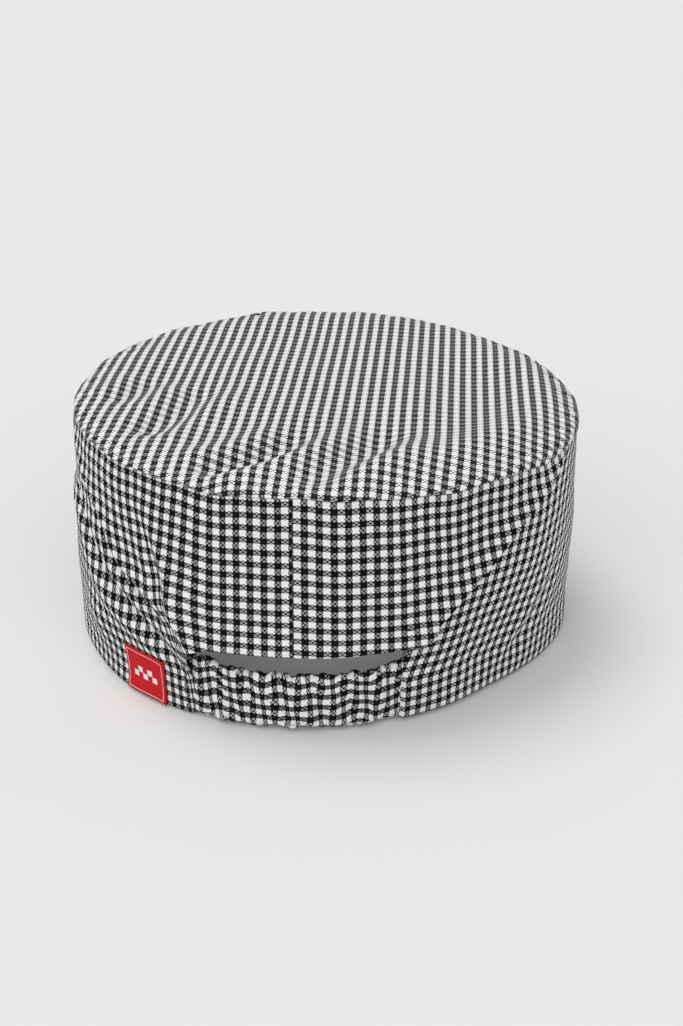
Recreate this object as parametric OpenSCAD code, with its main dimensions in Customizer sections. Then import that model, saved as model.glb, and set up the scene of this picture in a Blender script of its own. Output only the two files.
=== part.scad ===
// Kitchen skull cap: a flat round crown on an upright band, with an open slot at the back
// above a gathered casing that holds the elastic.
// Frame: +Z up, the hem stands on Z = 0, the elastic back faces -Y and the forehead faces +Y.

/* [Band] */
// Outer radius of the lower, upright part of the band
hem_r = 94; // [88:1:102]
// Outer radius of the band where it meets the crown
seam_r = 92.5; // [87:0.5:100]
// Height of the seam between the band and the crown
seam_h = 90; // [75:1:110]
// Height of the upright part of the band, above which it leans in
upright_h = 30; // [28:1:32]
// Thickness of one layer of cloth
cloth = 0.5; // [0.4:0.05:0.6]

/* [Crown] */
// Rise of the flat top above the seam
crown_rise = 4; // [3:0.5:6]
// Radius of the flat part of the crown
crown_flat_r = 78; // [70:1:82]
// Depth of the seam allowance that hangs inside the crown seam
allowance = 8; // [6:0.5:10]

/* [Back opening] */
// Half of the angle that the back notch takes out of the band
notch_half = 24; // [20:1:28]
// Height of the notch's top edge
notch_h = 34; // [33:1:40]
// Height of the gathered casing
casing_h = 24.5; // [23:0.5:25]
// Thickness of the gathered casing, through both of its layers and the elastic
casing_t = 3.6; // [3:0.2:4.4]
// How far the elastic pulls the middle of the casing in from the band
casing_pull = 3.2; // [2:0.2:6]
// Width of the elastic
elastic_w = 20; // [15:1:21]
// Thickness of the elastic
elastic_t = 1.2; // [1:0.1:1.4]

/* [Labels] */
// Width of the woven label, measured along the band
label_w = 21; // [16:1:26]
// Height of the woven label
label_h = 18.5; // [14:1:24]
// Angle from the centre back to the middle of the woven label
label_at = 38; // [36:1:60]
// Width of the care label
care_w = 25; // [15:1:30]
// Length of the care label
care_l = 35; // [25:1:45]

/* [Stitching] */
// Diameter of the sewing thread
thread_d = 0.4; // [0.3:0.05:0.4]
// Length of one visible stitch
stitch = 2.2; // [1.8:0.1:3]

/* [Hidden] */
$fn = 180;

// Clearances
lap_gap = 0.7;      // between the band and its lining, where the pressed-open seam lies
ply_gap = 0.2;      // between plies that are sewn together
joint_gap = 0.3;    // between the casing's ends and the band's notch
seam_slit = 0.5;    // between the band's two ends at the centre back

// Radii worked out from the band
lining_in = cloth + lap_gap;                    // depth of the lining's outer face in the wall
wall_t = 2 * cloth + lap_gap;                   // whole wall, band and lining
stitch_pitch = stitch * 1.4;

// Seam allowances of the crown seam, as radii of the crown's skirt and of the band's turned edge
turned_r = seam_r - 2.6;                        // outer face of the band's turned edge
skirt_r = turned_r - cloth - thread_d - ply_gap; // outer face of the crown's skirt
allowance_z = seam_h - cloth - allowance;       // lower raw edge of the allowances
binding_t = 0.4;                                // thickness of the tape that binds them
binding_z = allowance_z - ply_gap - binding_t;  // lower edge of that tape

// Crown: the roll between the flat top and the seam is an arc that leaves the top level
crown_z = seam_h + crown_rise;
roll_x = seam_r - crown_flat_r;
roll_z = crown_rise - ply_gap / 2 - cloth;
roll_r = (roll_x * roll_x + roll_z * roll_z) / (2 * roll_z);
roll_angle = asin(roll_x / roll_r);
roll_steps = 10;

// Casing: an arc through both notch corners, flatter than the band
casing_end_x = (hem_r - 0.2) * sin(notch_half) - joint_gap;
casing_end_y = (hem_r - 0.2) * cos(notch_half);
casing_sag = hem_r - casing_pull - casing_end_y;
casing_r = (casing_end_x * casing_end_x + casing_sag * casing_sag) / (2 * casing_sag);
casing_half = asin(casing_end_x / casing_r);
casing_base = 0.4;
casing_wall = 0.6;

// Care label: hangs below the crown seam's binding on the wearer's right, and turns about its top edge
care_t = 0.6;
care_x = skirt_r - 0.3;
care_top = binding_z - thread_d - 0.4;

// Sweeps a profile through an angle of 2 * half, centred on the back
module back_arc(half) {
    rotate([0, 0, -90 - half]) rotate_extrude(angle = 2 * half) children();
}

// Profile of one ply of the wall, from height z0 to z1, whose outer face lies depth inside the band
module wall_profile(depth, ply, z0, z1) {
    r0 = hem_r - depth;
    r1 = seam_r - depth;
    slope = (seam_r - hem_r) / (seam_h - upright_h);
    top_r = r0 + slope * (z1 - upright_h);
    polygon(z0 < upright_h
        ? [[r0 - ply, z0], [r0, z0], [r0, upright_h], [top_r, z1], [top_r - ply, z1], [r0 - ply, upright_h]]
        : [[r0 - ply + slope * (z0 - upright_h), z0], [r0 + slope * (z0 - upright_h), z0],
           [top_r, z1], [top_r - ply, z1]]);
}

// Sector that is taken out of the wall behind the head
module notch(top) {
    back_arc(notch_half) translate([hem_r - 12, -1]) square([24, top + 1]);
}

// Closed ring of rectangular section
module band_ring(r_in, r_out, z0, z1) {
    rotate_extrude() translate([r_in, z0]) square([r_out - r_in, z1 - z0]);
}

// One straight stitch along Z, standing at radius r and the given angle from the centre back
module stitch_at(r, angle, z) {
    rotate([0, 0, angle - 90]) translate([r, 0, z]) cylinder(h = stitch, d = thread_d, $fn = 16);
}

// ---- Crown ----

module crown_profile() {
    outer = [for (i = [0:roll_steps]) let (a = roll_angle * i / roll_steps)
        [crown_flat_r + roll_r * sin(a), crown_z - roll_r * (1 - cos(a))]];
    inner = [for (i = [roll_steps:-1:0]) let (a = roll_angle * i / roll_steps)
        [crown_flat_r + (roll_r - cloth) * sin(a), crown_z - cloth - (roll_r - cloth) * (1 - cos(a))]];
    polygon(concat([[0, crown_z - cloth], [0, crown_z]], outer, inner));
}

module crown_top() {
    bridge_z = seam_h + ply_gap / 2;
    color("gainsboro") union() {
        rotate_extrude() crown_profile();
        band_ring(skirt_r - cloth, seam_r - 0.2, bridge_z, bridge_z + cloth);
        band_ring(skirt_r - cloth, skirt_r, allowance_z, bridge_z + cloth);
    }
}

module crown_seam_binding() {
    r_in = skirt_r - cloth - ply_gap - binding_t;
    r_out = turned_r + ply_gap + binding_t;
    color("black") difference() {
        band_ring(r_in, r_out, binding_z, allowance_z + allowance * 0.7);
        band_ring(r_in + binding_t, r_out - binding_t, binding_z + binding_t, seam_h);
    }
}

module crown_seam_thread() {
    color("dimgray") rotate_extrude()
        translate([(skirt_r + turned_r - cloth) / 2, seam_h - 2]) circle(d = thread_d, $fn = 24);
}

// ---- Band ----

// Band in section: rolled hem, upright wall, leaning wall, and the top edge turned in and down
module band_profile() {
    edge_r_in = hem_r - wall_t;
    polygon([
        [edge_r_in, 0], [hem_r, 0], [hem_r, upright_h], [seam_r, seam_h],
        [turned_r - cloth, seam_h], [turned_r - cloth, allowance_z], [turned_r, allowance_z],
        [turned_r, seam_h - cloth], [seam_r - cloth, seam_h - cloth],
        [hem_r - cloth, upright_h], [hem_r - cloth, cloth], [edge_r_in, cloth]
    ]);
}

module side_band() {
    color("gainsboro") difference() {
        union() {
            rotate_extrude() band_profile();
            // rolled edge over the notch
            back_arc(notch_half - 0.2)
                translate([hem_r - wall_t, notch_h - 1]) square([wall_t - cloth / 2, 1 + cloth]);
            // pressed-open allowances of the centre back seam
            back_arc(5) wall_profile(cloth / 2, cloth, notch_h - 1, seam_h - 2 * cloth);
        }
        notch(notch_h);
        translate([-seam_slit / 2, -hem_r - 1, 0]) cube([seam_slit, 12, seam_h + 1]);
    }
}

module band_lining() {
    color("whitesmoke") difference() {
        rotate_extrude() wall_profile(lining_in, cloth, cloth + 0.1, seam_h - cloth - 0.1);
        notch(notch_h + cloth + 0.1);
    }
}

module back_seam_thread() {
    lean = atan((hem_r - seam_r) / (seam_h - upright_h));
    rise = seam_h - notch_h - 4;
    r0 = hem_r - cloth - (notch_h - upright_h) * tan(lean);
    color("dimgray") for (i = [0:floor(rise / stitch_pitch) - 1])
        translate([0, -(r0 - i * stitch_pitch * tan(lean)), notch_h + 2 + i * stitch_pitch])
            rotate([-lean, 0, 0]) cylinder(h = stitch, d = thread_d, $fn = 16);
}

module slot_hem_thread() {
    z = notch_h + 4;
    r = hem_r - wall_t - (z - upright_h) * (hem_r - seam_r) / (seam_h - upright_h) - thread_d / 2 - 0.05;
    color("dimgray") back_arc(notch_half - 1) translate([r, z]) circle(d = thread_d, $fn = 24);
}

module hem_thread() {
    r = hem_r - wall_t - thread_d / 2 - 0.05;
    color("dimgray") rotate([0, 0, notch_half + 2 - 90]) rotate_extrude(angle = 356 - 2 * notch_half)
        translate([r, 3]) circle(d = thread_d, $fn = 24);
}

// ---- Elastic back ----

// Sweeps a profile along the casing's own arc
module casing_arc(half) {
    translate([0, casing_r - (hem_r - casing_pull), 0]) back_arc(half) children();
}

module elastic_casing() {
    round_r = casing_t / 2;
    color("gainsboro") difference() {
        casing_arc(casing_half) union() {
            translate([casing_r - casing_t, casing_base + round_r])
                square([casing_t, casing_h - casing_t]);
            for (z = [round_r, casing_h - round_r])
                translate([casing_r - round_r, casing_base + z]) circle(r = round_r, $fn = 48);
        }
        casing_arc(casing_half + 1)
            translate([casing_r - casing_t + casing_wall, casing_base + round_r])
                square([casing_t - 2 * casing_wall, casing_h - casing_t]);
    }
}

module elastic_strip() {
    color("white") casing_arc(casing_half - 0.2)
        translate([casing_r - (casing_t + elastic_t) / 2, casing_base + (casing_h - elastic_w) / 2])
            square([elastic_t, elastic_w]);
}

// Two rows of stitches beside one end of the casing; side is 1 or -1
module casing_seam(side) {
    rows = floor((notch_h - 3) / stitch_pitch);
    color("black") for (row = [0.7, 1.9], i = [0:rows - 1])
        stitch_at(hem_r + thread_d / 2 + 0.02, side * (notch_half + row * 180 / (PI * hem_r)),
            1 + i * stitch_pitch + (row > 1 ? 0.5 : 0));
}

module casing_seam_thread_left() { casing_seam(-1); }
module casing_seam_thread_right() { casing_seam(1); }

// ---- Labels ----

module woven_label() {
    half = label_w * 90 / (PI * hem_r);
    color("crimson") rotate([0, 0, -label_at]) back_arc(half)
        translate([hem_r + 0.05, 0.6]) square([0.8, label_h]);
}

module label_thread() {
    half = label_w * 90 / (PI * hem_r);
    steps = floor(label_h / stitch_pitch);
    color("firebrick") for (side = [-1, 1], i = [0:steps - 1])
        stitch_at(hem_r + 0.05 + 0.8 + thread_d / 2 + 0.02, -label_at + side * (half - 0.6),
            1 + i * stitch_pitch);
}

module care_label() {
    color("white") difference() {
        translate([care_x - care_t / 2, -care_w / 2, care_top - care_l]) cube([care_t, care_w, care_l]);
        // the two plies of the folded label
        translate([care_x - 0.1, -care_w / 2 - 1, care_top - care_l + 0.5]) cube([0.2, care_w + 2, care_l]);
    }
}

module care_label_thread() {
    count = floor(care_w / stitch_pitch);
    y0 = -(count * stitch_pitch - (stitch_pitch - stitch)) / 2;
    color("dimgray") for (i = [0:count - 1])
        translate([care_x, y0 + i * stitch_pitch, binding_z - thread_d / 2 - 0.02]) rotate([-90, 0, 0])
            cylinder(h = stitch, d = thread_d, $fn = 16);
}

crown_top();
crown_seam_binding();
crown_seam_thread();
side_band();
band_lining();
back_seam_thread();
slot_hem_thread();
hem_thread();
elastic_casing();
elastic_strip();
casing_seam_thread_left();
casing_seam_thread_right();
woven_label();
label_thread();
care_label();
care_label_thread();
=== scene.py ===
"""Kitchen skull cap in small black and white check, seen from behind.

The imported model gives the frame, the nodes' boxes and the two joints. Lengths here are in millimetres until
a mesh is made, angles are in degrees from the centre back and grow towards the wearer's right (+X).
"""
import math

import bmesh
import bpy
import numpy as np
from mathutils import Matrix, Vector


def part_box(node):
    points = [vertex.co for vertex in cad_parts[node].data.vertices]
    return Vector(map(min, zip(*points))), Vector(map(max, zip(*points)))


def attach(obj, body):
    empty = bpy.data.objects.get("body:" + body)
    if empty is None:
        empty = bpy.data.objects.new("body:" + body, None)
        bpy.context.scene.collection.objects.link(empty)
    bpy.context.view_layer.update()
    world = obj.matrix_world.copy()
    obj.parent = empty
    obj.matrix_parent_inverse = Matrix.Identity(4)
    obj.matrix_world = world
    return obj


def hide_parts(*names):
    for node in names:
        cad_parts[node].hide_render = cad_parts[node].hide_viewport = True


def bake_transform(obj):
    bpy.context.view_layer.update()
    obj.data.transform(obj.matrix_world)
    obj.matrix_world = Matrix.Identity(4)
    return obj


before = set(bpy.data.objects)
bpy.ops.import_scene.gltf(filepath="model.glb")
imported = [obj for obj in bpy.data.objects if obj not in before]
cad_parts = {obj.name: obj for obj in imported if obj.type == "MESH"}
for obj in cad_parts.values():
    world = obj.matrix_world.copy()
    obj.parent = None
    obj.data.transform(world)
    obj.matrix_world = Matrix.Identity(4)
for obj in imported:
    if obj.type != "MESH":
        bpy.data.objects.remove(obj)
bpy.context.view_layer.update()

MM = 0.001


# ---------------- sizes, from the frame

def node_box(name):
    """A node's lowest and highest corners, in millimetres."""
    low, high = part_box(name)
    return np.array(low) / MM, np.array(high) / MM


LABEL_LOW, LABEL_HIGH = node_box("woven_label")
CARE_LOW, CARE_HIGH = node_box("care_label")
HEM_R = node_box("side_band")[1][0]        # radius of the hem
TOP_Z = node_box("crown_top")[1][2]        # height of the flat top
MM_PER_DEGREE = HEM_R * math.pi / 180
NOTCH_HALF = 24.0                 # half angle of the back notch
CLOTH = 0.5                       # thickness of one ply
CHECK = 4.5                       # one repeat of the check in the cloth's own coordinates
BAND_REPEAT = 4.65                # one repeat along the band
BAND_ROWS = 20.7                  # repeats of the check from hem to crown seam
CROWN_REPEAT = (4.3, 3.95)        # one repeat across and along the crown
CASING_REPEAT = (4.65, 5.0)       # one repeat along and up the casing


# ---------------- small mathematics

def smooth(x, low=0.0, high=1.0):
    t = np.clip((np.asarray(x, float) - low) / (high - low), 0, 1)
    return t * t * (3 - 2 * t)


def bell(x, width):
    return np.exp(-(np.asarray(x, float) / width) ** 2)


def curve(knots):
    """A smooth function through (x, y) knots, level beyond both ends."""
    xs = np.array([k[0] for k in knots], float)
    ys = np.array([k[1] for k in knots], float)
    slopes = np.gradient(ys, xs)
    slopes[0] = slopes[-1] = 0

    def value(x):
        x = np.clip(np.asarray(x, float), xs[0], xs[-1])
        i = np.clip(np.searchsorted(xs, x) - 1, 0, len(xs) - 2)
        step = xs[i + 1] - xs[i]
        t = (x - xs[i]) / step
        return ((2 * t**3 - 3 * t**2 + 1) * ys[i] + (t**3 - 2 * t**2 + t) * step * slopes[i]
                + (3 * t**2 - 2 * t**3) * ys[i + 1] + (t**3 - t**2) * step * slopes[i + 1])
    return value


def ring(knots):
    """A smooth function of the angle that closes on itself; the knots run from -180 to below 180."""
    wrapped = [(a - 360, v) for a, v in knots] + knots + [(a + 360, v) for a, v in knots]
    inner = curve(wrapped)
    return lambda angle: inner((np.asarray(angle, float) + 180) % 360 - 180)


def ripple(seed, count, low, high):
    """A seeded sum of waves of x and y, with wavelengths from low to high, of about unit height."""
    rng = np.random.default_rng(seed)
    waves = []
    for _ in range(count):
        turn = rng.uniform(0, 2 * math.pi)
        k = 2 * math.pi / rng.uniform(low, high)
        waves.append((k * math.cos(turn), k * math.sin(turn), rng.uniform(0, 2 * math.pi)))

    def value(x, y):
        total = 0
        for kx, ky, phase in waves:
            total = total + np.sin(kx * x + ky * y + phase)
        return total / math.sqrt(count / 2)
    return value


def polar(angle, radius, z):
    """Points in space, in millimetres, from an angle to the centre back, a radius and a height."""
    a = np.radians(angle)
    return np.stack([radius * np.sin(a), -radius * np.cos(a), z + 0 * a], axis=-1)


def all_round(columns):
    """Angles spaced evenly all the way round the cap."""
    return np.linspace(-180, 180, columns, endpoint=False)


# ---------------- meshes

def make_object(name, points, faces, uv=None, material=None, smooth_faces=True):
    """A mesh object from points in millimetres; uv holds one cloth coordinate a point."""
    mesh = bpy.data.meshes.new(name)
    mesh.from_pydata((np.asarray(points) * MM).tolist(), [], faces)
    if uv is not None:
        layer = mesh.uv_layers.new(name="cloth")
        corners = np.empty(len(mesh.loops), int)
        mesh.loops.foreach_get("vertex_index", corners)
        layer.data.foreach_set("uv", np.asarray(uv, float)[corners].ravel())
    mesh.polygons.foreach_set("use_smooth", [smooth_faces] * len(mesh.polygons))
    mesh.validate()
    obj = bpy.data.objects.new(name, mesh)
    bpy.context.scene.collection.objects.link(obj)
    if material is not None:
        mesh.materials.append(material)
    return obj


def grid_faces(rows, columns, closed=False, keep=None, base=0):
    """Quads of a grid whose points run row by row; keep says which quads to make."""
    faces = []
    for j in range(rows - 1):
        for i in range(columns if closed else columns - 1):
            if keep is not None and not keep[j, i]:
                continue
            k = (i + 1) % columns
            faces.append((base + j * columns + i, base + j * columns + k,
                          base + (j + 1) * columns + k, base + (j + 1) * columns + i))
    return faces


def grid_object(name, points, uv, material, closed=False, keep=None):
    """An object from a grid of points, by rows and columns, and of cloth coordinates."""
    points, uv = np.array(points), np.array(uv)
    rows, columns = points.shape[:2]
    return make_object(name, points.reshape(-1, 3), grid_faces(rows, columns, closed, keep),
                       uv.reshape(-1, 2), material)


def drop_loose_points(obj):
    bm = bmesh.new()
    bm.from_mesh(obj.data)
    bmesh.ops.delete(bm, geom=[v for v in bm.verts if not v.link_faces], context="VERTS")
    bm.to_mesh(obj.data)
    bm.free()


def thicken(obj, thickness, offset):
    """Gives a sheet its thickness, in millimetres, and bakes it into the mesh."""
    drop_loose_points(obj)
    modifier = obj.modifiers.new("thickness", "SOLIDIFY")
    modifier.thickness = thickness * MM
    modifier.offset = offset
    modifier.use_even_offset = False
    depsgraph = bpy.context.evaluated_depsgraph_get()
    mesh = bpy.data.meshes.new_from_object(obj.evaluated_get(depsgraph))
    obj.modifiers.clear()
    obj.data = mesh


def thread_runs(name, runs, diameter, material):
    """One object of short sewn stitches: each run is a list of points that a thread follows."""
    sides = 8
    points, faces = [], []
    for run in runs:
        path = np.asarray(run, float)
        steps = len(path)
        along = np.gradient(path, axis=0)
        along /= np.linalg.norm(along, axis=1)[:, None]
        across = np.cross(along, [0.31, 0.2, 0.93])
        across /= np.linalg.norm(across, axis=1)[:, None]
        over = np.cross(along, across)
        base = len(points)
        for i in range(steps):
            t = i / (steps - 1)
            radius = diameter / 2 * math.sqrt(max(0.0, 1 - abs(2 * t - 1) ** 4)) + 0.02
            for s in range(sides):
                a = 2 * math.pi * s / sides
                points.append(path[i] + radius * (math.cos(a) * across[i] + math.sin(a) * over[i]))
        faces += [(base + i * sides + s, base + i * sides + (s + 1) % sides,
                   base + (i + 1) * sides + (s + 1) % sides, base + (i + 1) * sides + s)
                  for i in range(steps - 1) for s in range(sides)]
        faces.append(tuple(base + s for s in reversed(range(sides))))
        faces.append(tuple(base + (steps - 1) * sides + s for s in range(sides)))
    return make_object(name, points, faces, None, material)


# ---------------- the cap's shape

# Rings of the soft shape: (angle, value). The back right is pulled in the furthest by the elastic.
seam_radius = ring([(-180, 93), (-150, 93), (-120, 92.8), (-90, 93.2), (-60, 92), (-30, 91.5), (0, 90),
                    (15, 89.5), (30, 90.5), (45, 92), (60, 94.2), (75, 96), (90, 95.8), (105, 94),
                    (130, 91.5), (155, 92)])
seam_line = ring([(-180, 92), (-150, 92.5), (-120, 92.5), (-90, 92), (-60, 92), (-30, 91.8), (0, 91.6),
                  (15, 91), (30, 90), (45, 89.2), (60, 88.6), (75, 88.4), (90, 89), (120, 90), (150, 91)])


def seam_height(angle):
    """Height of the crown seam, which wavers a little where the crown is eased into it."""
    a = np.radians(angle)
    height = seam_line(angle)
    for amount, waves, phase in ((0.40, 9, 1.0), (0.32, 14, 2.2), (0.26, 27, 0.5)):
        height = height + amount * np.sin(waves * a + phase)
    return height


hem_radius = ring([(-180, 94), (-150, 95), (-120, 96.5), (-90, 97), (-75, 96), (-60, 94), (-45, 93.2),
                   (-32, 91.5), (-15, 90), (0, 88.8), (15, 87.6), (28, 86.8), (40, 87), (50, 86.8),
                   (60, 88.5), (72, 92), (84, 95.5), (100, 97), (125, 96), (150, 94.5)])
hem_height = ring([(-180, 0.1), (-60, 0.3), (-30, 0.6), (0, 1.4), (25, 1.6), (50, 1.8), (75, 0.5),
                   (120, 0.1)])

# Creases that run from the crown seam down to the ends of the slot: (height, angle)
crease_right = curve([(0, 19), (20, 21), (30, 22.4), (35, 24.4), (44, 31.8), (55, 40.5), (66, 49.8),
                      (78, 61.5), (92, 73)])
crease_left = curve([(0, -21), (20, -23), (32, -26), (42, -32), (53, -45), (65, -52), (72, -59), (92, -74)])
crease_low = curve([(14, -26), (22, -29), (30, -34.5), (38, -43.5), (45, -52.5), (55, -61), (66, -70)])
crease_steep = curve([(26, -23), (35, -26.5), (46, -29.5), (57, -31), (67, -33), (80, -36)])

slot_edge = curve([(-25, 28.4), (-23, 30.2), (-19, 32.8), (-10, 34.1), (0, 34.6), (10, 34.9), (19, 35.7),
                   (25, 36.3)])
PANEL_R = 95.2                    # radius that the panel above the slot would have at the hem
cloth_waves = ripple(7, 9, 34, 80)
small_waves = ripple(11, 14, 9, 22)
pucker_waves = ripple(23, 16, 3.4, 8.5)
row_waves = ripple(31, 8, 9, 26)


def across_crease(line, side, angle, z):
    """Distance from a crease, in millimetres, positive on its low side."""
    step = 0.5
    lean = (line(z + step) - line(z - step)) / (2 * step) * MM_PER_DEGREE
    return side * (angle - line(z)) * MM_PER_DEGREE / np.sqrt(1 + lean**2)


def low_side(angle, z):
    """1 where the wall is drawn in by the elastic, 0 on the panel above the slot."""
    right = smooth(across_crease(crease_right, 1, angle, z), -0.3, 2.6)
    left = smooth(across_crease(crease_left, -1, angle, z), -2, 7)
    return np.where(angle > 0, right, left)


def notch_lean(angle, z):
    """Turn, in degrees, of the slot's right end, which the elastic draws into a slant."""
    return 4.4 * bell(angle - 26, 5.5) * bell(z - 36, 6.5)


def wall_radius(angle, z):
    """Radius of the band's outer face."""
    angle, z = np.broadcast_arrays(np.asarray(angle, float), np.asarray(z, float))
    t = np.clip(z / seam_height(angle), 0, 1.05)
    panel = seam_radius(angle) * t + PANEL_R * (1 - t) + 1.2 * np.sin(math.pi * t)
    low = seam_radius(angle) * t + hem_radius(angle) * (1 - t) + 0.8 * np.sin(math.pi * np.clip(t, 0, 1))
    w = low_side(angle, z)
    near = smooth(-np.abs(angle), -100, -60)
    w = 1 - (1 - w) * near
    radius = panel * (1 - w) + low * w

    d = across_crease(crease_right, 1, angle, z)
    on_right = smooth(angle, 5, 22)
    fade = smooth(z, 26, 40) * (1 - smooth(z, 76, 92))
    past = smooth(d, -0.8, 1.5)
    ridge = 1.9 * bell(d, 6.0) * (1 - past)
    hollow = 2.6 * past * np.exp(-np.clip(d, 0, None) / 8)
    radius = radius + on_right * fade * (ridge - hollow)
    second = (angle - 60 - (z - 22) * 0.55) * MM_PER_DEGREE * 0.8
    fold = 0.9 * bell(second + 3, 5) - 1.3 * bell(second - 2, 4.5)
    radius = radius + on_right * bell(z - 26, 16) * fold

    on_left = smooth(-angle, 5, 22)
    d = across_crease(crease_left, -1, angle, z)
    fade = smooth(z, 30, 44) * (1 - smooth(z, 78, 92))
    pleats = 0.42 * np.sin(2 * math.pi * d / 4.4) * bell(d - 1, 6.5)
    radius = radius + on_left * fade * (bell(d + 3, 4.5) - 2.3 * bell(d - 2, 2.8) + pleats)
    d = across_crease(crease_low, -1, angle, z)
    fade = smooth(z, 16, 30) * (1 - smooth(z, 56, 70))
    fold = 0.9 * bell(d + 3.5, 4) - 2.6 * bell(d, 2.8) + 1.8 * bell(d - 8, 6)
    radius = radius + on_left * fade * fold
    d = across_crease(crease_steep, -1, angle, z)
    fade = smooth(z, 28, 38) * (1 - smooth(z, 56, 76))
    fold = 0.7 * bell(d + 2.6, 3.2) - 2.0 * bell(d - 1, 2.2) + 0.8 * bell(d - 5, 3)
    radius = radius + on_left * fade * fold
    radius = radius + 2.4 * bell(angle + 55, 9) * bell(z - 22, 9)

    s = angle * MM_PER_DEGREE
    edge = smooth(z, 0, 6) * (1 - smooth(t, 0.93, 0.995))
    radius = radius + edge * (0.35 * cloth_waves(s, z) + 0.07 * small_waves(s, z))
    puckers = bell(1 - t, 0.05) * (1 - smooth(t, 0.985, 1.0))
    return radius + 0.16 * puckers * np.sin(s / 1.55 + 1.3 * np.sin(s / 13.0))


slide = curve([(-125, 0), (-95, -12), (-75, -24), (-60, -28), (-45, -26), (-24, -19), (24, 18), (40, 17),
               (50, 18), (62, 22), (74, 24), (92, 19), (112, 8), (132, 0)])
panel_ease = curve([(-60, 0), (-40, 0.3), (-25, 1.0), (-12, 0.8), (0, 0), (12, -1.3), (20, -1.6),
                    (30, -0.7), (40, 0.9), (60, 1.4), (100, 0)])


def thread_shift(angle, z):
    """How far the cloth has slid towards the casing, in millimetres along the band."""
    rise = np.clip((z - 18) / (seam_height(angle) - 20), 0, 1)
    at_fold = smooth(across_crease(crease_steep, -1, angle, z), -1.5, 4)
    at_fold = np.where(angle < 0, at_fold, low_side(angle, z))
    on_left = smooth(-angle, 15, 30)
    gathered = 7 * on_left * (1 - smooth(across_crease(crease_left, -1, angle, z), -2, 5))
    gathered = gathered * smooth(rise, 0.1, 0.5) * (1 - rise)
    strained = -3.6 * (angle + 56) / 8 * bell(angle + 56, 9) * bell(z - 23, 9)
    hidden = -4 * on_left * smooth(across_crease(crease_low, -1, angle, z), -3, 4)
    hidden = hidden * smooth(z, 20, 40) * (1 - smooth(z, 50, 76)) * smooth(angle, -115, -70)
    return slide(angle) * (1 - rise) ** 1.5 * at_fold + gathered + strained + hidden


def band_cloth(angle, z):
    """Cloth coordinates of the band, where the check runs level with both the hem and the crown seam."""
    s = (angle + notch_lean(angle, z)) * MM_PER_DEGREE + thread_shift(angle, z) + panel_ease(angle)
    t = (z - hem_height(angle)) / (seam_height(angle) - hem_height(angle))
    left = angle < 0
    u = s * CHECK / BAND_REPEAT + np.where(left, 1.0, 1.75)
    v = BAND_ROWS * CHECK * t + np.where(left, 0.0, 1.5) * smooth(-np.abs(angle), -180, -20)
    return np.stack([u, v], axis=-1)


COLUMNS = 720
LOW_ROWS = 36
HIGH_ROWS = 70
HEM_FOLD = 0.75                   # radius of the fold along the hem and the slot
HEM_TURN = 7.0                    # depth of the turned hem inside
LIP = 0.7                         # drop of the band's outer edge below the crown seam


def band_rows(angle):
    """Heights of the band's rows on the outer face, shaped (rows, columns)."""
    inside = np.abs(angle) < NOTCH_HALF + 1e-6
    split = np.where(inside, slot_edge(angle), slot_edge(np.sign(angle) * NOTCH_HALF))
    blend = smooth(np.abs(angle), NOTCH_HALF, NOTCH_HALF + 30)
    split = split * (1 - blend) + 32 * blend
    fold_end = hem_height(angle) + HEM_FOLD
    low = [fold_end + (split - fold_end) * k / LOW_ROWS for k in range(LOW_ROWS)]
    high = [split + (seam_height(angle) - split) * k / HIGH_ROWS for k in range(HIGH_ROWS + 1)]
    return np.array(low + high), inside


# ---------------- materials

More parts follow.
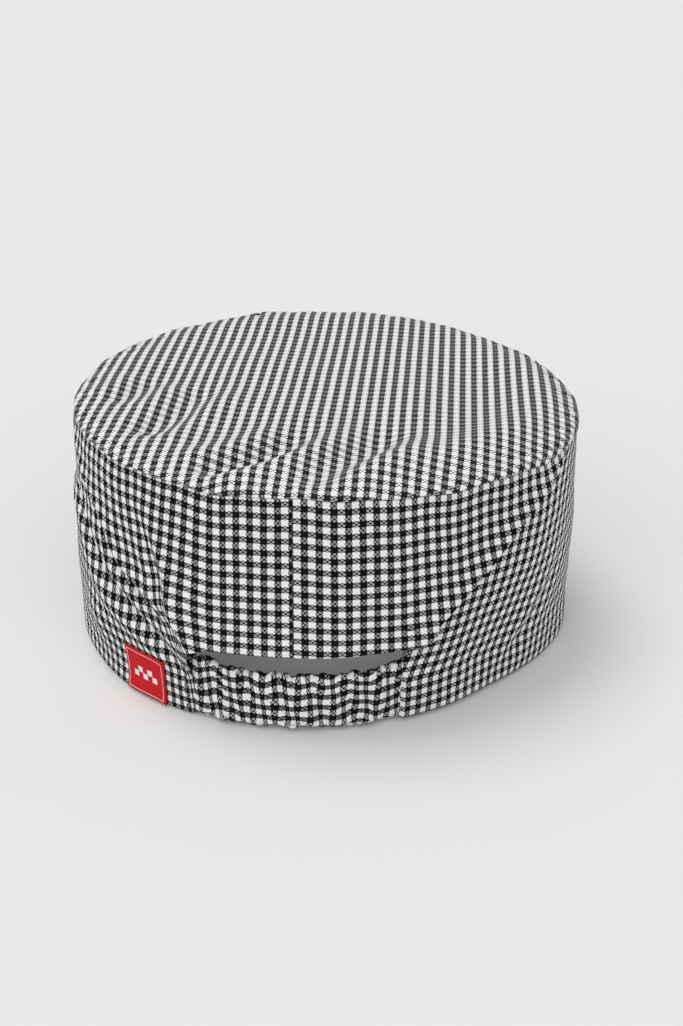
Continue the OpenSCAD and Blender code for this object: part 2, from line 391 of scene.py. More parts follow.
class Shader:
    """A material's node tree with short ways to add its nodes."""

    def __init__(self, name):
        self.material = bpy.data.materials.new(name)
        self.material.use_nodes = True
        self.tree = self.material.node_tree
        self.tree.nodes.clear()
        self.surface = self.tree.nodes.new("ShaderNodeBsdfPrincipled")
        output = self.tree.nodes.new("ShaderNodeOutputMaterial")
        self.tree.links.new(self.surface.outputs[0], output.inputs["Surface"])

    def put(self, socket, value):
        if isinstance(value, bpy.types.NodeSocket):
            self.tree.links.new(value, socket)
        else:
            socket.default_value = value

    def add(self, kind, values, **settings):
        """A new node's outputs, once its settings are made and its sockets hold the values."""
        node = self.tree.nodes.new("ShaderNode" + kind)
        for name, setting in settings.items():
            setattr(node, name, setting)
        for key, value in values.items():
            self.put(node.inputs[key], value)
        return node.outputs

    def math(self, operation, *values):
        return self.add("Math", dict(enumerate(values)), operation=operation)[0]

    def plus(self, first, second):
        return self.math("ADD", first, second)

    def minus(self, first, second):
        return self.math("SUBTRACT", first, second)

    def times(self, first, second):
        return self.math("MULTIPLY", first, second)

    def linear(self, value, factor, offset):
        return self.math("MULTIPLY_ADD", value, factor, offset)

    def below(self, value, limit):
        return self.math("LESS_THAN", value, limit)

    def size(self, value):
        return self.math("ABSOLUTE", value)

    def repeat(self, value, length):
        return self.math("FRACT", self.math("DIVIDE", value, length))

    def hump(self, value, length):
        """One smooth rise and fall, from 0 to 1, in every length."""
        return self.math("SINE", self.times(self.repeat(value, length), math.pi))

    def checker(self, u, v, length):
        """1 and 0 in turn, on squares of half the length."""
        across, along = (self.below(self.repeat(w, length), 0.5) for w in (u, v))
        return self.size(self.minus(across, along))

    def parts(self, vector):
        return self.add("SeparateXYZ", {0: vector})

    def cloth_uv(self):
        vector = self.add("UVMap", {}, uv_map="cloth")[0]
        u, v, _ = self.parts(vector)
        return u, v, vector

    def on_object(self, name):
        """The object's own point or normal: name is Object or Normal."""
        return self.add("TexCoord", {})[name]

    def noise(self, vector, scale, detail=2.0):
        return self.add("TexNoise", {"Vector": vector, "Scale": scale, "Detail": detail})["Fac"]

    def mix(self, factor, first, second):
        return self.add("Mix", {"Factor": factor, "A": first, "B": second}, data_type="RGBA")["Result"]

    def scaled(self, colour, factor):
        return self.add("VectorMath", {0: colour, "Scale": factor}, operation="SCALE")[0]

    def bump(self, height, distance_mm, strength=1.0):
        values = {"Strength": strength, "Distance": distance_mm * MM, "Height": height}
        self.put(self.surface.inputs["Normal"], self.add("Bump", values)[0])

    def finish(self, colour, roughness, sheen=0.0, sheen_roughness=0.5, specular=0.3):
        values = {"Base Color": colour, "Roughness": roughness, "Sheen Weight": sheen,
                  "Sheen Roughness": sheen_roughness, "Specular IOR Level": specular}
        for name, value in values.items():
            self.put(self.surface.inputs[name], value)
        return self.material


THREAD = CHECK / 14               # pitch of the yarns in the check cloth
PEPPER = CHECK / 3                # repeat of the black and white specks in its mixed squares


def twill_height(s, u, v, pitch):
    """Height of a two-up two-down twill, from 0 to 1, for a bump."""
    over = s.below(s.repeat(s.plus(u, v), 4 * pitch), 0.5)
    warp = s.hump(u, pitch)
    weft = s.hump(v, pitch)
    return s.plus(s.times(over, warp), s.times(s.minus(1.0, over), weft))


def check_material(name, warp_side, weft_side, turned_weft_side=None, pile=0.0):
    """Black and white gingham: solid squares, with peppered squares between them.

    warp_side and weft_side are the brightness of the squares where only that set of yarns is black, and
    turned_weft_side is what the second becomes on the top and the flanks, where the warp hides the weft.
    """
    s = Shader(name)
    u, v, vector = s.cloth_uv()
    pepper = s.checker(u, v, PEPPER)
    wander = s.linear(s.noise(vector, 2.2), 0.10, s.times(pepper, 0.20))
    warp = s.below(s.repeat(s.plus(u, wander), CHECK), 0.5)
    weft = s.below(s.repeat(s.minus(v, wander), CHECK), 0.5)
    both = s.times(warp, weft)
    either = s.math("MAXIMUM", warp, weft)
    grain = s.linear(s.noise(vector, 2.6, 3.0), 2.4, -0.7)
    white = s.mix(grain, (0.70, 0.70, 0.695, 1), (0.99, 0.99, 0.985, 1))
    black = s.mix(grain, (0.001, 0.001, 0.0012, 1), (0.013, 0.013, 0.014, 1))
    across = weft_side
    if turned_weft_side is not None:
        x, _, z = s.parts(s.on_object("Normal"))
        level = s.linear(z, 6.0, -4.9)
        flank = s.linear(s.size(x), 2.6, -1.5)
        turned = s.math("MINIMUM", s.math("MAXIMUM", s.math("MAXIMUM", level, flank), 0.0), 1.0)
        across = s.linear(turned, turned_weft_side - weft_side, weft_side)
    grey = s.plus(s.times(warp, warp_side), s.times(s.minus(1.0, warp), across))
    swing = s.linear(pepper, -1.84, 1.92)
    peppered = s.scaled((1, 1, 0.995), s.times(grey, swing))
    colour = s.mix(both, s.mix(either, white, peppered), black)
    height = twill_height(s, u, v, THREAD)
    shade = s.plus(0.84, s.times(height, 0.16))
    s.bump(height, 0.05, 0.6)
    return s.finish(s.scaled(colour, shade), 0.95, pile, 0.6, 0.05)


def plain_cloth(name, light, dark, pitch, roughness=0.85, sheen=0.1):
    """Plain woven cloth in one colour, with uneven yarns."""
    s = Shader(name)
    u, v, vector = s.cloth_uv()
    height = twill_height(s, u, v, pitch)
    colour = s.mix(s.noise(vector, 1.4, 5.0), dark, light)
    shade = s.plus(0.86, s.times(height, 0.14))
    s.bump(height, 0.04, 0.5)
    return s.finish(s.scaled(colour, shade), roughness, sheen, 0.5, 0.25)


def tape_material():
    """Twill tape with a herringbone rib along its length."""
    s = Shader("binding_tape")
    u, v, vector = s.cloth_uv()
    rib = s.math("PINGPONG", s.plus(u, s.math("PINGPONG", v, 1.5)), 0.4)
    height = s.math("DIVIDE", rib, 0.4)
    colour = s.mix(s.noise(vector, 3.0, 3.0), (0.012, 0.012, 0.013, 1), (0.03, 0.03, 0.032, 1))
    s.bump(height, 0.08, 0.6)
    return s.finish(colour, 0.8, 0.15, 0.4, 0.3)


def elastic_material():
    """Woven elastic with ribs along its length and cross cords between them, with painted shade in the
    grooves.
    """
    s = Shader("elastic")
    u, v, _ = s.cloth_uv()
    height = s.plus(s.hump(v, 1.6), s.times(s.hump(u, 0.7), 0.5))
    # painted shade: the grooves between the ribs and cords are coloured darker than their tops
    colour = s.mix(s.times(height, 0.6), (0.62, 0.62, 0.6, 1), (0.86, 0.86, 0.84, 1))
    s.bump(height, 0.12, 0.8)
    return s.finish(colour, 0.7, 0.0, 0.5, 0.3)


def thread_material(name, light, dark):
    """Spun sewing thread with a faint twist, whose grooves are painted darker as shade."""
    s = Shader(name)
    x, y, z = s.parts(s.on_object("Object"))
    along = s.plus(z, s.plus(x, y))
    twist = s.math("SINE", s.times(along, 2 * math.pi / (0.35 * MM)))
    factor = s.plus(0.5, s.times(twist, 0.5))
    s.bump(factor, 0.04, 0.5)
    # painted shade: the colour runs from dark in the twist's grooves to light on its ridges
    return s.finish(s.mix(factor, dark, light), 0.8, 0.0, 0.4, 0.15)


def woven_label_material(width, height):
    """Red damask label with a fine white border and two rows of small squares, and no words."""
    s = Shader("label_weave")
    u, v, vector = s.cloth_uv()
    to_side = s.minus(width / 2, s.size(u))
    to_end = s.minus(height / 2, s.size(v))
    inset = s.math("MINIMUM", to_side, to_end)
    border = s.math("COMPARE", inset, 1.3, 0.12)
    checks = s.checker(s.plus(u, 1.2), v, 4.8)
    inside = s.times(s.below(s.size(u), 6.0), s.below(s.size(v), 2.4))
    line = s.math("MAXIMUM", border, s.times(checks, inside))
    weave = twill_height(s, u, v, 0.16)
    red = s.mix(s.noise(vector, 5.0, 4.0), (0.50, 0.004, 0.010, 1), (0.68, 0.008, 0.018, 1))
    colour = s.mix(line, red, (0.82, 0.8, 0.79, 1))
    raised = s.plus(weave, s.times(line, 0.8))
    s.bump(raised, 0.05, 0.6)
    shade = s.plus(0.82, s.times(weave, 0.18))
    return s.finish(s.scaled(colour, shade), 0.7, 0.03, 0.3, 0.2)


def satin_material():
    """White satin ribbon: long floats that catch the light across the ribbon."""
    s = Shader("care_satin")
    u, _, vector = s.cloth_uv()
    colour = s.mix(s.noise(vector, 2.5, 3.0), (0.78, 0.78, 0.77, 1), (0.88, 0.88, 0.87, 1))
    s.bump(s.hump(u, 0.22), 0.03, 0.5)
    return s.finish(colour, 0.38, 0.1, 0.3, 0.45)


def floor_material():
    s = Shader("studio_floor")
    speckle = s.noise(s.on_object("Object"), 3.0, 2.0)
    colour = s.mix(speckle, (0.795, 0.795, 0.795, 1), (0.805, 0.805, 0.805, 1))
    return s.finish(colour, 0.9, 0.0, 0.5, 0.1)


CHECK_CLOTH = check_material("check_cloth", 0.17, 0.20, 0.50)
CROWN_CLOTH = check_material("check_cloth_crown", 0.17, 0.25, 0.68, 0.12)
CASING_CLOTH = check_material("check_cloth_casing", 0.22, 0.11)
LINING = plain_cloth("lining_cloth", (0.66, 0.66, 0.655, 1), (0.58, 0.58, 0.575, 1), 0.3)
TAPE = tape_material()
ELASTIC = elastic_material()
GREY_THREAD = thread_material("grey_thread", (0.24, 0.24, 0.24, 1), (0.12, 0.12, 0.12, 1))
BLACK_THREAD = thread_material("black_thread", (0.03, 0.03, 0.03, 1), (0.01, 0.01, 0.01, 1))
RED_THREAD = thread_material("red_thread", (0.6, 0.02, 0.04, 1), (0.35, 0.008, 0.02, 1))
SATIN = satin_material()


# ---------------- the band

def band_columns():
    """Angles of the band's columns, and how far the two edges at the centre back are turned in."""
    edge = [(0.10, 2.4), (0.10, 1.3), (0.14, 0.7), (0.26, 0.32), (0.5, 0.1), (0.85, 0.02)]
    step = 360 / COLUMNS
    regular = [step * i for i in range(2, COLUMNS - 1)]
    beside = [NOTCH_HALF + d for d in (0.06, 0.15, 0.28, 0.4, 0.75)]
    regular = sorted(regular + beside + [360 - a for a in beside])
    angles = [s / MM_PER_DEGREE for s, _ in edge] + regular
    angles += [360 - s / MM_PER_DEGREE for s, _ in reversed(edge)]
    inset = [d for _, d in edge] + [0] * len(regular) + [d for _, d in reversed(edge)]
    angles = np.array(angles)
    return np.where(angles > 180, angles - 360, angles), np.array(inset)


# The band's top edge turns in and down: (inwards, upwards) from the crown seam
TOP_TURN = [(0.05, -0.3), (0.22, -0.08), (0.5, -0.01), (0.9, 0.0), (2.4, -0.05), (3.1, -0.4),
            (3.4, -1.2), (3.6, -5), (3.7, -9)]
# The crown's edge is turned in above it, and hangs down inside it
CROWN_TURN = [(0.12, 0.2), (0.4, 0.08), (0.8, 0.06), (2.6, 0.06), (3.8, -0.1), (4.25, -0.8), (4.45, -5),
              (4.6, -9)]


def fold_path(start):
    """A turned hem's section: (inwards, upwards, cloth used), from the raw edge to the fold's end."""
    path = [(2 * HEM_FOLD, HEM_FOLD + HEM_TURN * (1 - k / 4)) for k in range(4)]
    path += [(HEM_FOLD * (1 + math.cos(math.pi * k / 7)), HEM_FOLD * (1 - math.sin(math.pi * k / 7)))
             for k in range(7)]
    lengths = [0.0]
    for a, b in zip(path, path[1:]):
        lengths.append(lengths[-1] + math.dist(a, b))
    total = lengths[-1] + math.pi * HEM_FOLD / 7
    return [(x, z + start, run - total) for (x, z), run in zip(path, lengths)]


def edge_tuck(angle):
    """How far the notch's upright edges roll in over the casing's ends."""
    return 2.6 * np.clip(1 - (np.abs(angle) - NOTCH_HALF) * MM_PER_DEGREE / 2.4, 0, 1) ** 2


def make_band():
    angle, inset = band_columns()
    columns = len(angle)
    heights, in_notch = band_rows(angle)
    seam_z = seam_height(angle)
    points, cloth, keep = [], [], []

    def add_row(radius, z, uv, kept):
        points.append(polar(angle + notch_lean(angle, z), radius - inset, z))
        cloth.append(uv)
        keep.append(kept)

    everywhere = np.ones(columns, bool)
    outside = ~in_notch
    # the hem's fold
    for inwards, up, used in fold_path(0.0):
        z = hem_height(angle) + up
        uv = band_cloth(angle, hem_height(angle) + HEM_FOLD)
        uv[:, 1] += used
        radius = wall_radius(angle, hem_height(angle) + HEM_FOLD) - edge_tuck(angle) - inwards
        add_row(radius, z, uv, outside)
    # the outer face, with the rows under the notch's edge left out
    for k in range(LOW_ROWS):
        tuck = edge_tuck(angle) * smooth(LOW_ROWS - k, 2, 16)
        add_row(wall_radius(angle, heights[k]) - tuck, heights[k], band_cloth(angle, heights[k]), outside)
    low_count = len(points)
    for k in range(LOW_ROWS, LOW_ROWS + HIGH_ROWS + 1):
        z = heights[k]
        if k == LOW_ROWS + HIGH_ROWS:
            z = z - LIP
        add_row(wall_radius(angle, z), z, band_cloth(angle, z), everywhere)
    used = 0.0
    before = (0.0, -LIP)
    rim = wall_radius(angle, seam_z - LIP)
    for inwards, up in TOP_TURN:
        used += math.dist(before, (inwards, up))
        before = (inwards, up)
        uv = band_cloth(angle, seam_z - LIP)
        uv[:, 1] += used
        add_row(rim - inwards, seam_z + up, uv, everywhere)
    rows = len(points)
    points, cloth = np.array(points), np.array(cloth)
    quads = np.ones((rows - 1, columns - 1), bool)
    for j in range(low_count):
        quads[j] = keep[j][:-1] & keep[j][1:] & (np.abs(angle[:-1] + angle[1:]) > 2 * NOTCH_HALF)
    faces = grid_faces(rows, columns, keep=quads)
    uv = cloth.reshape(-1, 2)
    points = points.reshape(-1, 3)

    # the slot's own fold, under the panel
    columns_in = np.flatnonzero(in_notch)
    for run in (columns_in[angle[columns_in] > 0], columns_in[angle[columns_in] < 0]):
        a = angle[run]
        edge = slot_edge(a)
        first = len(points)
        fold_points, fold_uv = [], []
        for inwards, up, used in fold_path(-HEM_FOLD):
            radius = wall_radius(a, edge) - inwards - inset[run]
            fold_points.append(polar(a + notch_lean(a, edge + up), radius, edge + up))
            fold_uv.append(band_cloth(a, edge) + [0, used])
        points = np.vstack([points, *fold_points])
        uv = np.vstack([uv, *fold_uv])
        faces += grid_faces(len(fold_points), len(run), base=first)
        last = first + (len(fold_points) - 1) * len(run)
        above = low_count * columns
        faces += [(last + i, last + i + 1, above + run[i + 1], above + run[i])
                  for i in range(len(run) - 1)]
    band = make_object("check_band", points, faces, uv, CHECK_CLOTH)
    thicken(band, CLOTH, -1)
    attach(band, "cap")
    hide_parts("side_band")


# ---------------- the crown

GRAIN = 1.2                       # turn of the crown's check from the cap's own axes
# Share of the radius where the crown starts to roll down to its seam
roll_start = ring([(-180, 0.87), (-90, 0.87), (-40, 0.87), (-10, 0.86), (10, 0.84), (25, 0.81),
                   (50, 0.80), (75, 0.83), (110, 0.86)])
# Height that the rim stands above the flat top
rim_height = ring([(-180, 0.8), (-120, 1.0), (-60, 0.8), (-30, 1.0), (0, 2.0), (20, 3.2), (45, 3.4),
                   (70, 2.8), (95, 1.8), (130, 0.8)])
CROWN_CREASES = [                 # (points (x, y), depth, half width)
    ([(-62, -50), (-56, -40), (-50, -26), (-46, -12), (-43, 2)], 1.9, 5.5),
    ([(-36, -78), (-27, -71), (-17, -63), (-8, -52), (-1, -37)], 3.0, 5.5),
    ([(0, -84), (8, -75), (16, -63), (24, -48), (30, -30)], 2.6, 6.5),
    ([(-78, -22), (-70, -10), (-64, 6)], 1.2, 5.0),
]


def distance_to_path(x, y, path):
    """Distance to a run of straight pieces, and how far along it the nearest point is, from 0 to 1."""
    best = np.full(np.shape(x), 1e9)
    along = np.zeros(np.shape(x))
    for i, ((x0, y0), (x1, y1)) in enumerate(zip(path, path[1:])):
        dx, dy = x1 - x0, y1 - y0
        t = np.clip(((x - x0) * dx + (y - y0) * dy) / (dx * dx + dy * dy), 0, 1)
        d = np.hypot(x - x0 - t * dx, y - y0 - t * dy)
        nearer = d < best
        best = np.where(nearer, d, best)
        along = np.where(nearer, (i + t) / (len(path) - 1), along)
    return best, along


def crown_height(angle, share):
    """Height of the crown at a share of the way out to its seam."""
    radius = seam_radius(angle)
    x = share * radius * np.sin(np.radians(angle))
    y = -share * radius * np.cos(np.radians(angle))
    seam = seam_height(angle) + 0.42
    flat = TOP_Z - 0.4 + 0.25 * cloth_waves(x * 1.3, y * 1.3)
    start = roll_start(angle)
    rim = rim_height(angle) * bell(share - start, 0.13)
    z = flat + rim
    for path, depth, width in CROWN_CREASES:
        d, along = distance_to_path(x, y, path)
        ends = smooth(along, 0.0, 0.2) * (1 - smooth(along, 0.75, 1.0)) + 0.15
        z = z - depth * ends * bell(d, width) + 0.45 * depth * ends * bell(d - 2.1 * width, width)
    fall = 1 - (1 - np.clip((share - start) / (1 - start), 0, 1) ** 2.1) ** 0.6
    return z * (1 - fall) + seam * fall


def make_crown():
    columns = 480
    angle = all_round(columns)
    shares = np.concatenate([np.linspace(0.02, 0.7, 46), np.linspace(0.7, 1.0, 44)[1:]])
    radius = seam_radius(angle)
    points, cloth = [], []
    a = np.radians(angle)
    eased = np.sin(96 * a + 1.6 * np.sin(11 * a)) + 0.7 * np.sin(61 * a + 1.3 * np.sin(7 * a) + 1)
    bulge = 0.25 + 0.25 * rim_height(angle) + 0.12 * eased
    rows = [(share * radius + bulge * bell(share - 0.972, 0.022),
             crown_height(angle, share) + 0.22 * bell(share - 0.955, 0.035) * eased) for share in shares]
    rows += [(radius - inwards, seam_height(angle) + up) for inwards, up in CROWN_TURN]
    run = rows[0][0]
    before = rows[0]
    for out, z in rows:
        run = run + np.hypot(out - before[0], z - before[1])
        before = out, z
        points.append(polar(angle, out, z))
        cloth.append(run)
    points = np.array(points)
    turned = np.radians(angle - GRAIN)
    across, along = CROWN_REPEAT
    grain = np.stack([np.sin(turned) * CHECK / across, -np.cos(turned) * CHECK / along], axis=-1)
    uv = np.array(cloth)[:, :, None] * grain
    flat_points = np.vstack([points.reshape(-1, 3), [[0, 0, float(crown_height(0.0, 0.0))]]])
    flat_uv = np.vstack([uv.reshape(-1, 2), [[0, 0]]])
    faces = [tuple(reversed(f)) for f in grid_faces(len(points), columns, closed=True)]
    centre = len(flat_points) - 1
    faces += [(centre, i, (i + 1) % columns) for i in range(columns)]
    crown = make_object("check_crown", flat_points, faces, flat_uv, CROWN_CLOTH)
    thicken(crown, CLOTH, -1)
    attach(crown, "cap")
    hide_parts("crown_top")


# ---------------- the lining and the inside of the crown seam

LINING_IN = 2.4                   # depth of the lining's outer face in the wall
LINING_T = 0.4                    # thickness of the lining
LINING_CUT = NOTCH_HALF + 4.5     # half angle of the gap in the lining at the slot
STITCH = 2.2                      # length of a stitch
PITCH = 3.1                       # from one stitch to the next


def make_lining():
    columns, low_rows, high_rows = 720, 16, 40
    angle = all_round(columns)
    low = hem_height(angle) + 4.6
    high = seam_height(angle) - 1.4
    beyond = smooth(np.abs(angle), LINING_CUT, NOTCH_HALF + 34)
    split = (slot_edge(angle) + 1.6) * (1 - beyond) + 32 * beyond
    heights = [low + (split - low) * k / low_rows for k in range(low_rows)]
    heights += [split + (high - split) * k / high_rows for k in range(high_rows + 1)]
    edge = [(0.35, low + 3.0), (0.35, low + 0.5), (0.15, low + 0.1)]
    points, cloth = [], []
    for outwards, z in edge + [(0, z) for z in heights]:
        radius = wall_radius(angle, z) - LINING_IN + outwards
        points.append(polar(angle + notch_lean(angle, z), radius, z))
        cloth.append(np.stack([angle * MM_PER_DEGREE, z], axis=-1))
    keep = np.ones((len(points), columns), bool)
    keep[:low_rows + len(edge), np.abs(angle) < LINING_CUT] = False
    lining = grid_object("lining", points, cloth, LINING, closed=True, keep=keep)
    thicken(lining, LINING_T, -1)
    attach(lining, "cap")
    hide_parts("band_lining")


def make_binding():
    """Tape folded round the raw edges of the crown seam's allowances."""
    section = [(-3.15, -3.6), (-3.15, -6.5), (-3.18, -9.0), (-3.4, -9.5), (-4.2, -9.7), (-5.1, -9.5),
               (-5.32, -9.0), (-5.35, -6.5), (-5.3, -3.6)]
    columns = 480
    angle = all_round(columns)
    points, cloth = [], []
    used = 0.0
    for k, (inwards, up) in enumerate(section):
        used += math.dist(section[k - 1], (inwards, up)) if k else 0
        wave = 0.12 * np.sin(angle / 4.0 + 1.7 * np.sin(angle / 17.0)) * (1 if k > 1 else 0.3)
        radius = seam_radius(angle) + inwards + 0.5 * wave
        points.append(polar(angle, radius, seam_height(angle) + up + wave))
        cloth.append(np.stack([angle * MM_PER_DEGREE, np.full(columns, used)], axis=-1))
    tape = grid_object("binding_tape", points, cloth, TAPE, closed=True)
    thicken(tape, 0.35, 0)
    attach(tape, "cap")
    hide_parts("crown_seam_binding")


def stitch_along(position, start, length=STITCH, lift=0.16, points=7):
    """One stitch whose ends dive into the cloth; position(s, out) is the point s along and out from it."""
    shares = [k / (points - 1) for k in range(points)]
    return [position(start + length * t, lift * math.sin(math.pi * t) - lift * 0.6) for t in shares]


def add_thread(name, node, runs, material, diameter=0.4):
    thread = thread_runs(name, runs, diameter, material)
    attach(thread, "cap")
    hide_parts(node)


def round_the_band(inwards, height_of, low, high):
    """Stitches that run level round the band, from one angle to another."""
    def position(s, out):
        a = s / MM_PER_DEGREE
        z = float(height_of(a))
        return polar(a, float(wall_radius(a, z)) - inwards - out, z)
    count = int((high - low) * MM_PER_DEGREE / PITCH)
    return [stitch_along(position, low * MM_PER_DEGREE + i * PITCH) for i in range(count)]


def make_threads():
    inner_face = LINING_IN + LINING_T
    hem = round_the_band(inner_face, lambda a: hem_height(a) + 5.6, -180, -NOTCH_HALF - 5)
    hem += round_the_band(inner_face, lambda a: hem_height(a) + 5.6, NOTCH_HALF + 5, 180)
    add_thread("hem_stitches", "hem_thread", hem, GREY_THREAD)

    slot = round_the_band(inner_face, lambda a: slot_edge(a) + 2.8, -NOTCH_HALF + 1, NOTCH_HALF - 1)
    add_thread("slot_hem_stitches", "slot_hem_thread", slot, GREY_THREAD)

    def on_skirt(s, out):
        a = s / MM_PER_DEGREE
        return polar(a, float(seam_radius(a)) - 4.95 - out, float(seam_height(a)) - 2.2)
    count = int(360 * MM_PER_DEGREE / PITCH)
    crown = [stitch_along(on_skirt, -180 * MM_PER_DEGREE + i * PITCH) for i in range(count)]
    add_thread("crown_seam_stitches", "crown_seam_thread", crown, GREY_THREAD)

    def in_groove(s, out):
        return polar(0.0, float(wall_radius(0.01, s)) - 0.75 + out, s)
    back = [stitch_along(in_groove, 37.0 + i * PITCH) for i in range(16)]
    add_thread("back_seam_stitches", "back_seam_thread", back, GREY_THREAD, 0.3)

    for side, name in ((-1, "left"), (1, "right")):
        runs = []
        for row, row_start in ((2.0, 1.2), (3.6, 1.9)) if side < 0 else ((0.2, 1.2), (0.6, 1.9)):
            a = side * (NOTCH_HALF + row / MM_PER_DEGREE)

            def up_the_seam(z, out, a=a):
                radius = float(wall_radius(a, z) - edge_tuck(a)) + 0.04 + out
                return polar(a + float(notch_lean(a, z)), radius, z)
            low = float(hem_height(a)) + row_start
            runs += [stitch_along(up_the_seam, low + i * PITCH) for i in range(10)]
        add_thread(f"casing_seam_stitches_{name}", f"casing_seam_thread_{name}", runs, BLACK_THREAD,
                   0.34)


# ---------------- the gathered casing and its elastic

CASING_T = 1.7                    # half of the casing's thickness
FULLNESS = 1.11                   # cloth in the casing for each millimetre of its length
CASING_REACH = 27.0               # angle at which the casing ends, under the band's turned edges
casing_foot = curve([(-27, 90.0), (-15, 90.2), (0, 89.0), (15, 87.8), (27, 85.8)])
casing_head = curve([(-27, 90.2), (-20, 91.2), (0, 91.6), (15, 90.4), (21, 89.2), (27, 87.2)])
casing_top = curve([(-27, 26.5), (-22, 26.0), (-18, 24.9), (-10, 24.6), (0, 24.8), (10, 25.0), (18, 25.3),
                    (23, 26.0), (27, 26.3)])


def gather(angle, v, phase=0.0):
    """How far the gathered cloth stands proud, in millimetres."""
    s = angle * MM_PER_DEGREE
    even = s + 1.7 * np.sin(2 * math.pi * s / 23 + 1 + phase) + 0.8 * np.sin(2 * math.pi * s / 11 + 2.2)
    folds = 2 * np.abs(np.cos(math.pi * (even + 0.10 * v) / 6.3 + phase)) ** 0.85 - 1
    wide = np.sin(2 * math.pi * (s - 0.22 * v) / 13.5 + 0.8 + phase)
    ends = 1 - 0.75 * smooth(np.abs(angle), NOTCH_HALF - 4, NOTCH_HALF)
    return ends * (0.26 * folds + 0.28 * wide + 0.20 * pucker_waves(s, v * 0.42))


def casing_section(angle, face, arc):
    """The points of the casing's closed section at one angle, each with its normal."""
    foot = np.array([float(casing_foot(angle)) - CASING_T, float(hem_height(angle)) + 0.3 + CASING_T])
    head = np.array([float(casing_head(angle)) - CASING_T, float(casing_top(angle)) - CASING_T])
    up = (head - foot) / np.linalg.norm(head - foot)
    out = np.array([up[1], -up[0]])
    points = []
    for start, end, sign in ((foot, head, 1), (head, foot, -1)):
        for k in range(face):
            points.append((start + (end - start) * k / face + sign * out * CASING_T, sign * out))
        for k in range(arc):
            a = math.pi * k / arc
            normal = sign * (out * math.cos(a) + up * math.sin(a))
            points.append((end + normal * CASING_T, normal))
    return points


def make_casing():
    face, arc, columns = 26, 12, 130
    along, up = CASING_REPEAT
    for side, name in ((-1, "left"), (1, "right")):
        angle = np.linspace(0, side * CASING_REACH, columns)
        points, cloth = [], []
        for a in angle:
            section = casing_section(a, face, arc)
            s = a * MM_PER_DEGREE
            used, before, column, column_uv = 0.0, section[0][0], [], []
            for index, (place, normal) in enumerate(section):
                used += float(np.linalg.norm(place - before))
                before = place
                on_back = 1.0 if face + arc <= index < 2 * face + arc else 0.0
                proud = float(gather(a, used, 1.4 * on_back))
                place = place + normal * proud * 0.9
                frill = 0.35 * math.sin(2 * math.pi * s / 5.1 + 0.7 * math.sin(s / 6)) * max(0, normal[1])
                column.append(polar(a, place[0], place[1] + frill))
                wave = float(row_waves(s, used * 0.4) + 0.12 * pucker_waves(s * 0.8, used * 0.3))
                wander = 0.5 * math.sin(2 * math.pi * s / 9.7 + 0.2 * used)
                wander += 0.12 * float(pucker_waves(used, s))
                column_uv.append(((s * FULLNESS + wander) * CHECK / along,
                                  (used + wave) * CHECK / up + 2.6))
            column.append(column[0])
            loop_end = used + float(np.linalg.norm(section[0][0] - before))
            column_uv.append((column_uv[0][0], column_uv[0][1] + loop_end * CHECK / up))
            points.append(column)
            cloth.append(column_uv)
        points = np.array(points).transpose(1, 0, 2)
        cloth = np.array(cloth).transpose(1, 0, 2)
        if side == 1:
            points, cloth = points[:, ::-1], cloth[:, ::-1]
        casing = grid_object(f"gathered_casing_{name}", points[:, ::-1], cloth[:, ::-1], CASING_CLOTH)
        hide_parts("elastic_casing")
        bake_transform(casing)


def make_elastic():
    width, half = 20.0, 0.5
    for side, name in ((-1, "left"), (1, "right")):
        angle = np.linspace(0, side * (CASING_REACH - 1), 60)
        points, cloth = [], []
        for k in range(9):
            row, row_uv = [], []
            for a in angle:
                foot = np.array([float(casing_foot(a)) - CASING_T, float(hem_height(a)) + 0.3])
                head = np.array([float(casing_head(a)) - CASING_T, float(casing_top(a))])
                share = 0.5 + (k / 8 - 0.5) * width / float(np.linalg.norm(head - foot))
                place = foot + (head - foot) * share
                row.append(polar(a, place[0], place[1]))
                row_uv.append((a * MM_PER_DEGREE, width * k / 8))
            points.append(row)
            cloth.append(row_uv)
        elastic = grid_object(f"elastic_{name}", points, cloth, ELASTIC)
        thicken(elastic, 2 * half, 0)
        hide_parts("elastic_strip")
        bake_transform(elastic)


# ---------------- the labels

def make_woven_label():
    low_angle = math.degrees(math.asin(LABEL_LOW[0] / (HEM_R + 0.85)))
    high_angle = math.degrees(math.asin(LABEL_HIGH[0] / (HEM_R + 0.05)))
    width = (high_angle - low_angle) * MM_PER_DEGREE
    height = LABEL_HIGH[2] - LABEL_LOW[2]
    columns, rows = 40, 34
    angle = np.linspace(low_angle, high_angle, columns)
    points, cloth = [], []
    for j in range(rows):
        up = height * j / (rows - 1)
        across = np.linspace(-width / 2, width / 2, columns)
        to_edge = np.minimum(np.minimum(width / 2 - np.abs(across), up), height - up)
        round_off = 0.28 * (1 - np.minimum(to_edge / 0.5, 1)) ** 2
        lift = 0.55 + 0.5 * smooth(across, width * 0.2, width / 2) + 0.25 * (1 - smooth(up, 0, 5))
        z = hem_height(angle) + 0.5 + up
        points.append(polar(angle, wall_radius(angle, z) + lift - round_off, z))
        cloth.append(np.stack([across, np.full(columns, up - height / 2)], axis=-1))
    label = grid_object("red_label", points, cloth, woven_label_material(width, height))
    thicken(label, 0.45, -1)
    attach(label, "cap")
    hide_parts("woven_label")

    def beside(a):
        def position(up, out):
            z = float(hem_height(a)) + 0.5 + up
            lift = 0.55 + (0.42 if a > (low_angle + high_angle) / 2 else 0)
            return polar(a, float(wall_radius(a, z)) + lift + 0.05 + out, z)
        return position
    runs = []
    for a in (low_angle + 0.55, high_angle - 0.55):
        runs += [stitch_along(beside(a), 0.7 + i * PITCH) for i in range(6)]
    add_thread("label_stitches", "label_thread", runs, RED_THREAD, 0.3)


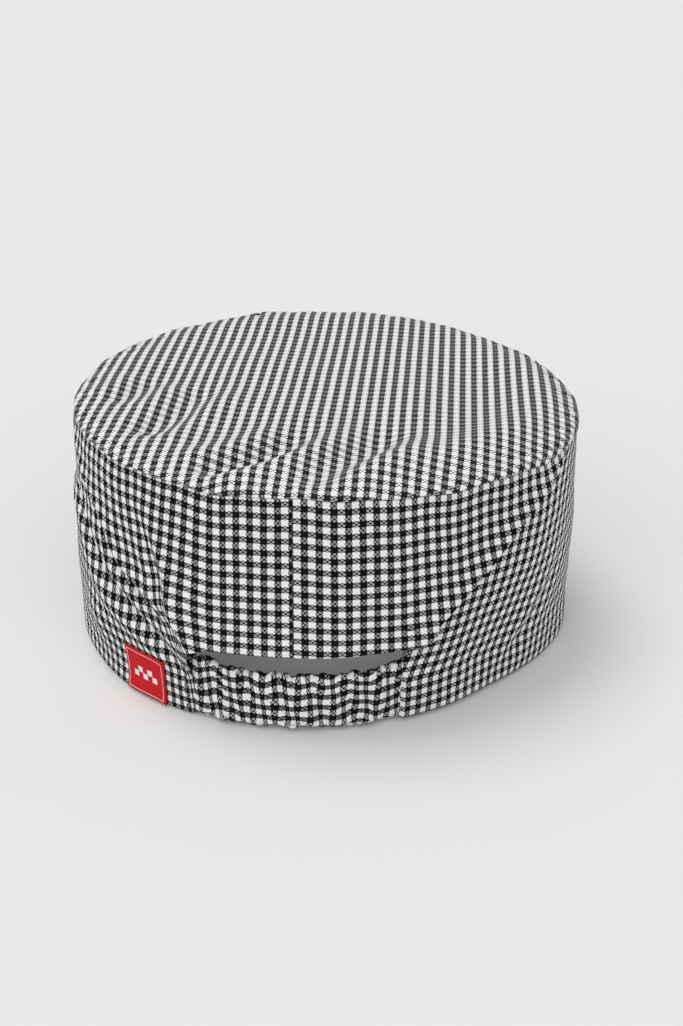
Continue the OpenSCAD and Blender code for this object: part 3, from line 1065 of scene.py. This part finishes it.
def make_care_label():
    """Blank satin ribbon folded in two, hanging from the binding."""
    width = CARE_HIGH[1] - CARE_LOW[1]
    length = CARE_HIGH[2] - CARE_LOW[2]
    top = CARE_HIGH[2]
    fold = 0.55
    path = [(0.5 + 0.35 * math.sin(math.pi * k / 16), -length * k / 16) for k in range(16)]
    path += [(0.5 - fold * (1 - math.cos(math.pi * k / 6)), -length - fold * math.sin(math.pi * k / 6))
             for k in range(7)]
    path += [(0.5 - 2 * fold - 0.5 * math.sin(math.pi * k / 16), -length + length * k / 16)
             for k in range(1, 17)]
    columns = 22
    y = np.linspace(-width / 2, width / 2, columns)
    points, cloth = [], []
    used = 0.0
    for k, (x, down) in enumerate(path):
        used += math.dist(path[k - 1], (x, down)) if k else 0
        curl = -1.6 * (down / length) ** 2 * (1 + 0.3 * np.cos(y / 5.0))
        points.append(np.stack([CARE_LOW[0] + x + curl, y, np.full(columns, top + down)], axis=-1))
        cloth.append(np.stack([y, np.full(columns, used)], axis=-1))
    label = grid_object("care_ribbon", points, cloth, SATIN)
    thicken(label, 0.14, 0)
    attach(label, "care_flap")
    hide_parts("care_label")

    def along_top(s, out):
        a = 90 + s / MM_PER_DEGREE
        return polar(a, float(seam_radius(a)) - 5.45 - out, float(seam_height(a)) - 8.6)
    runs = [stitch_along(along_top, -11.5 + i * PITCH) for i in range(8)]
    add_thread("care_label_stitches", "care_label_thread", runs, GREY_THREAD, 0.3)


make_band()
make_crown()
make_lining()
make_binding()
make_threads()
make_casing()
make_elastic()
make_woven_label()
make_care_label()


# ---------------- studio

def make_floor():
    size = 6000
    corners = [(-size, -size, 0), (size, -size, 0), (size, size, 0), (-size, size, 0)]
    floor = make_object("studio_floor", corners, [(0, 1, 2, 3)], None, floor_material())


def add_lamp(name, kind, energy):
    light = bpy.data.lights.new(name, kind)
    light.energy = energy
    lamp = bpy.data.objects.new(name, light)
    bpy.context.scene.collection.objects.link(lamp)
    return lamp


def make_lights():
    world = bpy.data.worlds.new("studio")
    world.use_nodes = True
    world.node_tree.nodes["Background"].inputs[0].default_value = (1, 1, 1, 1)
    world.node_tree.nodes["Background"].inputs[1].default_value = 0.45
    bpy.context.scene.world = world
    for name, towards, power, spread in (("key", (-0.28, 0.14, 1.0), 0.95, 28),
                                         ("fill", (-0.1, -1.0, 0.6), 1.65, 110)):
        lamp = add_lamp(name, "SUN", power)
        lamp.data.angle = math.radians(spread)
        lamp.rotation_euler = Vector(towards).to_track_quat("Z", "Y").to_euler()


def make_camera():
    """A 50 mm lens, half a metre behind the cap and a little to its right, looking 27 degrees down."""
    azimuth, tilt = math.radians(5.75), math.radians(27.06)
    distance, aside, height = 0.500, 0.007, 0.203 + TOP_Z * MM
    right = Vector((math.cos(azimuth), math.sin(azimuth), 0))
    ahead = Vector((-math.sin(azimuth), math.cos(azimuth), 0))
    data = bpy.data.cameras.new("camera")
    data.sensor_fit = "VERTICAL"
    data.sensor_height = 36
    data.lens = 50
    data.clip_end = 50
    camera = bpy.data.objects.new("camera", data)
    bpy.context.scene.collection.objects.link(camera)
    camera.location = right * aside - ahead * distance + Vector((0, 0, height))
    direction = ahead * math.cos(tilt) - Vector((0, 0, math.sin(tilt)))
    camera.rotation_euler = direction.to_track_quat("-Z", "Y").to_euler()
    bpy.context.scene.camera = camera


def light_inside():
    """Stands for the light that soaks through the cloth to the lining."""
    lamp = add_lamp("inside", "POINT", 0.03)
    lamp.data.shadow_soft_size = 0.03
    lamp.location = (0, 0, 0.045)


make_floor()
make_lights()
light_inside()
make_camera()
bpy.context.scene.view_settings.view_transform = "Standard"
